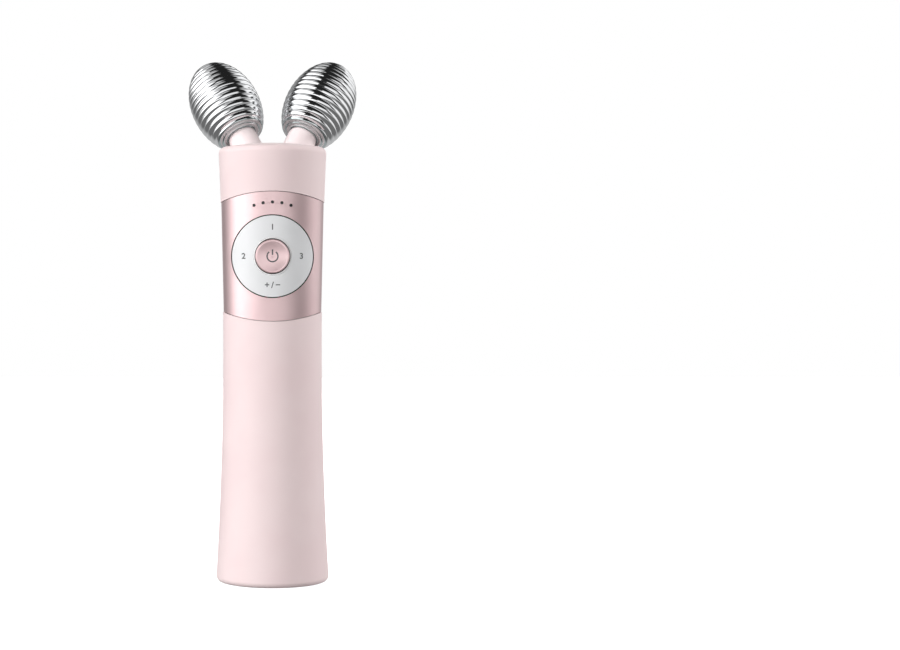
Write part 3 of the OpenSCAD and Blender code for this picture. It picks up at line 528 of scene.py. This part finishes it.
def makePowerSign():
    button = surfaceOf("power_button")
    bm = bmesh.new()
    inner = marks["arc"] - marks["line"] / 2
    outer = marks["arc"] + marks["line"] / 2
    start = radians(90 + marks["gap"])
    ends = [bm.verts.new((reach * cos(start), reach * sin(start), 0)) for reach in (inner, outer)]
    edge = bm.edges.new(ends)
    bmesh.ops.spin(bm, geom=ends + [edge], cent=(0, 0, 0), axis=(0, 0, 1),
                   angle=2 * (pi - radians(marks["gap"])), steps=4 * marks["dashes"])
    bar = bmesh.ops.create_grid(bm, x_segments=1, y_segments=marks["dashes"], size=0.5)["verts"]
    bmesh.ops.scale(bm, verts=bar, vec=(marks["line"], marks["barHigh"] - marks["barLow"], 1))
    bmesh.ops.translate(bm, verts=bar, vec=(0, (marks["barHigh"] + marks["barLow"]) / 2, 0))
    addMark("power_sign", bm, button, 0, marks["height"], "power_button")


makeRingMarks()
makePowerSign()
print("marks laid on the keys")


# Underside: driver crosses in the cap screws, contact strips in the charging socket

underside = {
    "screwAt": 11.2 * mm,      # each side of the middle
    "faceHigh": 0.6 * mm,      # where the screw heads start, over the base
    "faceThick": 0.3 * mm,
    "faceRadius": 2.0 * mm,
    "faceSegments": 48,
    "crossReach": 1.15 * mm,
    "crossHalf": 0.28 * mm,
    "crossDeep": 0.22 * mm,
    "socketAt": 8 * mm,        # behind the middle
    "tongueHalf": 0.35 * mm,
    "strips": 6,
    "stripGap": 0.95 * mm,
    "stripWide": 0.4 * mm,
    "stripFrom": 1.5 * mm,
    "stripTo": 6.5 * mm,
    "stripThick": 0.05 * mm,
}


def addScrewFace(bm, x):
    # thin cap with a sunk cross, facing down
    low = underside["faceHigh"] - underside["faceThick"]
    rim = bmesh.ops.create_circle(bm, segments=underside["faceSegments"],
                                  radius=underside["faceRadius"])["verts"]
    reach, half = underside["crossReach"], underside["crossHalf"]
    corners = ((half, half), (half, reach), (-half, reach), (-half, half), (-reach, half),
               (-reach, -half), (-half, -half), (-half, -reach), (half, -reach), (half, -half),
               (reach, -half), (reach, half))
    cross = [bm.verts.new((across, along, 0)) for across, along in corners]
    crossEdges = [bm.edges.new((cross[index - 1], cross[index])) for index in range(len(cross))]
    rimEdges = list(dict.fromkeys(edge for vertex in rim for edge in vertex.link_edges))
    bmesh.ops.triangle_fill(bm, edges=rimEdges + crossEdges, use_beauty=True, use_dissolve=False)
    made = rim + cross
    for edges, depth, closed in ((crossEdges, underside["crossDeep"], True),
                                 (rimEdges, underside["faceThick"], False)):
        grown = bmesh.ops.extrude_edge_only(bm, edges=edges)["geom"]
        inner = [item for item in grown if isinstance(item, bmesh.types.BMVert)]
        bmesh.ops.translate(bm, verts=inner, vec=(0, 0, depth))
        if closed:
            loop = [item for item in grown if isinstance(item, bmesh.types.BMEdge)
                    and all(vertex in inner for vertex in item.verts)]
            bmesh.ops.triangle_fill(bm, edges=loop, use_beauty=True, use_dissolve=False)
        made += inner
    bmesh.ops.translate(bm, verts=made, vec=(x, 0, low))


def makeUnderside():
    bm = bmesh.new()
    for x in (-underside["screwAt"], underside["screwAt"]):
        addScrewFace(bm, x)
    newPiece("cap_screw_faces", bm, finishes["steel"], "handle")
    # contact strips on both faces of the socket's tongue
    bm = bmesh.new()
    thick, length = underside["stripThick"], underside["stripTo"] - underside["stripFrom"]
    for face in (-1, 1):
        y = underside["socketAt"] + face * (underside["tongueHalf"] + thick / 2)
        for index in range(underside["strips"]):
            x = (index - (underside["strips"] - 1) / 2) * underside["stripGap"]
            strip = bmesh.ops.create_cube(bm, size=1)["verts"]
            bmesh.ops.scale(bm, verts=strip, vec=(underside["stripWide"], thick, length))
            bmesh.ops.translate(bm, verts=strip, vec=(x, y, underside["stripFrom"] + length / 2))
    newPiece("socket_contacts", bm, finishes["brass"], "handle")


makeUnderside()
print("underside details made")


# Stage, light and camera

light = {
    # what the shiny pieces see at eye level, by azimuth in degrees: 0 is the camera's side, -90 the left
    # a bright strip on the left, less light in front, a dim right side, a strip behind it
    "horizon": (
        (-180, 1.1), (-155, 0.3), (-140, 0.25), (-120, 0.7), (-90, 2.6), (-80, 2.6), (-30, 1.75),
        (20, 1.2), (60, 0.5), (80, 0.5), (110, 1.05), (130, 0.95), (155, 0.3), (180, 1.1),
    ),
    "horizonMost": 2.6,        # the highest of these levels
    "horizonHeight": 8,        # degrees above and below eye level
    "horizonEdge": 4,
    # light panels above it, with soft edges
    "panels": (
        {"azimuth": (-106, -22), "elevation": (0, 50), "edge": (5, 6), "level": 1.5},
        {"azimuth": (-106, -50), "elevation": (0, 50), "edge": (9, 6), "level": 0.6},
        {"azimuth": (-22, 52), "elevation": (0, 27), "edge": (5, 5), "level": 1.1},
        {"azimuth": (82, 148), "elevation": (0, 40), "edge": (4, 7), "level": 1.2},
        {"azimuth": (-152, -45), "elevation": (46, 82), "edge": (14, 8), "level": 0.7},
        {"azimuth": (92, 150), "elevation": (36, 62), "edge": (8, 6), "level": 0.7},
        {"azimuth": (150, 190), "elevation": (0, 24), "edge": (9, 9), "level": 0.3},
        {"azimuth": (-190, -116), "elevation": (0, 30), "edge": (9, 9), "level": 0.34},
    ),
    # slanting dark gap between the panels, to the left of the camera
    "gap": {"azimuth": -26, "slant": 0.42, "half": 13, "edge": 3, "level": 0.04},
    "dim": 0.02,               # overhead and between the panels
    "below": 0.17,             # under the horizon, at the front and sides
    "belowBehind": 0.6,        # and at the back
    "belowFade": (-20, 0),     # elevation over which both end
    "behindFade": (120, 150),  # azimuth over which it goes to the level behind
    # lamps that shade the matt pieces and don't show in the shiny ones
    "lamps": (
        {"name": "keyLight", "azimuth": -62, "elevation": 18, "size": 0.7, "power": 4.9},
        {"name": "rimLight", "azimuth": 108, "elevation": 12, "size": 0.5, "power": 6.8},
        {"name": "fillLight", "azimuth": 14, "elevation": 14, "size": 0.8, "power": 3.5},
        {"name": "topLight", "azimuth": -20, "elevation": 40, "size": 0.8, "power": 1.4},
        {"name": "backLight", "azimuth": 172, "elevation": 22, "size": 0.8, "power": 7.5},
    ),
    "lampDistance": 1.2,
    "aim": 0.1,                # height the lamps look at
}


def panelWeight(tree, azimuth, elevation, settings):
    # one soft-edged light panel round the device
    weight = None
    for value, key, edge in ((azimuth, "azimuth", settings["edge"][0]),
                             (elevation, "elevation", settings["edge"][1])):
        low, high = settings[key]
        rise = ramp(tree, value, low - edge, low + edge)
        fall = ramp(tree, value, high - edge, high + edge, 1.0, 0.0)
        both = maths(tree, "MULTIPLY", rise, fall)
        weight = both if weight is None else maths(tree, "MULTIPLY", weight, both)
    return maths(tree, "MULTIPLY", weight, settings["level"])


def horizonLevel(tree, azimuth):
    # stops of a colour ramp, from -180 to 180 degrees
    turn = maths(tree, "DIVIDE", maths(tree, "ADD", azimuth, 180.0), 360.0)
    made = addNode(tree, "ShaderNodeValToRGB", {"Fac": turn})
    stops = made.color_ramp.elements
    for degrees, _ in light["horizon"][1:-1]:
        stops.new((degrees + 180) / 360)
    for stop, (degrees, level) in zip(stops, light["horizon"]):
        shade = level / light["horizonMost"]
        stop.color = (shade, shade, shade, 1)
    return maths(tree, "MULTIPLY", made.outputs["Color"], light["horizonMost"])


def makeWorld():
    world = bpy.data.worlds.new("studio")
    bpy.context.scene.world = world
    world.use_nodes = True
    tree = world.node_tree
    tree.nodes.clear()
    way = addNode(tree, "ShaderNodeTexCoord").outputs["Generated"]
    split = addNode(tree, "ShaderNodeSeparateXYZ", {"Vector": way})
    toDegrees = 180 / pi
    forward = maths(tree, "MULTIPLY", split.outputs["Y"], -1.0)
    azimuth = maths(tree, "MULTIPLY", maths(tree, "ARCTAN2", split.outputs["X"], forward), toDegrees)
    elevation = maths(tree, "MULTIPLY", maths(tree, "ARCSINE", split.outputs["Z"]), toDegrees)
    level = None
    for settings in light["panels"]:
        weight = panelWeight(tree, azimuth, elevation, settings)
        level = weight if level is None else maths(tree, "ADD", level, weight)
    gap = light["gap"]
    slanted = maths(tree, "SUBTRACT", azimuth, maths(tree, "MULTIPLY", elevation, gap["slant"]))
    off = maths(tree, "ABSOLUTE", maths(tree, "SUBTRACT", slanted, gap["azimuth"]))
    opening = ramp(tree, off, gap["half"] - gap["edge"], gap["half"] + gap["edge"], gap["level"], 1.0)
    level = maths(tree, "MULTIPLY", level, opening)
    flat = maths(tree, "ABSOLUTE", elevation)
    height, soft = light["horizonHeight"], light["horizonEdge"]
    inside = ramp(tree, flat, height - soft, height + soft, 1.0, 0.0)
    level = addNode(tree, "ShaderNodeMix", {
        "Factor": inside, "A": level, "B": horizonLevel(tree, azimuth),
    }).outputs["Result"]
    around = maths(tree, "ABSOLUTE", azimuth)
    under = ramp(tree, around, *light["behindFade"], light["below"], light["belowBehind"])
    rest = maths(tree, "MULTIPLY", ramp(tree, elevation, *light["belowFade"], 1.0, 0.0), under)
    level = maths(tree, "ADD", maths(tree, "ADD", level, rest), light["dim"])
    studio = addNode(tree, "ShaderNodeBackground", {"Strength": level})
    white = addNode(tree, "ShaderNodeBackground", {"Color": (1, 1, 1, 1), "Strength": 1.0})
    seen = addNode(tree, "ShaderNodeLightPath").outputs["Is Camera Ray"]
    mixed = addNode(tree, "ShaderNodeMixShader", {0: seen, 1: studio.outputs[0], 2: white.outputs[0]})
    addNode(tree, "ShaderNodeOutputWorld", {"Surface": mixed.outputs[0]})


def makeLamps():
    for settings in light["lamps"]:
        data = bpy.data.lights.new(settings["name"], "AREA")
        data.shape = "DISK"
        data.size = settings["size"]
        data.energy = settings["power"]
        lamp = bpy.data.objects.new(settings["name"], data)
        turn, rise = radians(settings["azimuth"]), radians(settings["elevation"])
        way = Vector((sin(turn) * cos(rise), -cos(turn) * cos(rise), sin(rise)))
        lamp.location = Vector((0, 0, light["aim"])) + light["lampDistance"] * way
        lamp.rotation_euler = way.to_track_quat("Z", "Y").to_euler()
        lamp.visible_glossy = False
        bpy.context.scene.collection.objects.link(lamp)


floorSheet = {
    "half": 1.5,
    "sink": 0.05 * mm,         # just clear of the device's foot
    "colour": (0.93, 0.93, 0.93),
    "rough": 0.9,
    "sockets": {"Emission Strength": 0.8, "Emission Color": (1, 1, 1, 1)},
    "grain": (900, 3),
    "grainDepth": 0.00003,
    "grainStrength": 0.3,
}


def makeFloor():
    bm = bmesh.new()
    bmesh.ops.create_grid(bm, x_segments=1, y_segments=1, size=floorSheet["half"])
    bmesh.ops.translate(bm, verts=bm.verts, vec=(0, 0, -floorSheet["sink"]))
    mesh = bpy.data.meshes.new("floor")
    bm.to_mesh(mesh)
    bm.free()
    paper, tree, shader = newMaterial("palePaper", floorSheet["colour"], floorSheet["rough"], 0.0,
                                      floorSheet["sockets"])
    relief(tree, shader, noise(tree, *floorSheet["grain"]), floorSheet["grainDepth"],
           floorSheet["grainStrength"])
    # clear from below, so that the underside can be looked at
    below = addNode(tree, "ShaderNodeNewGeometry").outputs["Backfacing"]
    clear = addNode(tree, "ShaderNodeBsdfTransparent").outputs[0]
    sheet = addNode(tree, "ShaderNodeMixShader", {0: below, 1: shader.outputs[0], 2: clear}).outputs[0]
    tree.links.new(sheet, tree.nodes["Material Output"].inputs["Surface"])
    mesh.materials.append(paper)
    floor = bpy.data.objects.new("floor", mesh)
    bpy.context.scene.collection.objects.link(floor)
    floor.visible_glossy = False
    floor.visible_diffuse = False


view = {
    "lens": 78.8,              # millimetres, as the sensor is
    "sensor": 36,
    "distance": 0.724,         # from the camera to the handle's axis
    "height": 0.1107,
    "down": 1.31,              # tilt in degrees
    "axisColumn": 272.5,       # where the handle's axis stands in the photograph
    "photoWidth": 900,
    "clipStart": 0.01,
}


def makeCamera():
    data = bpy.data.cameras.new("camera")
    data.lens = view["lens"]
    data.sensor_width = view["sensor"]
    data.shift_x = 0.5 - view["axisColumn"] / view["photoWidth"]
    data.clip_start = view["clipStart"]
    camera = bpy.data.objects.new("camera", data)
    camera.location = (0, -view["distance"], view["height"])
    camera.rotation_euler = (pi / 2 - radians(view["down"]), 0, 0)
    bpy.context.scene.collection.objects.link(camera)
    bpy.context.scene.camera = camera


makeWorld()
makeLamps()
makeFloor()
makeCamera()
bpy.context.scene.view_settings.view_transform = "Standard"
print("stage, light and camera set")
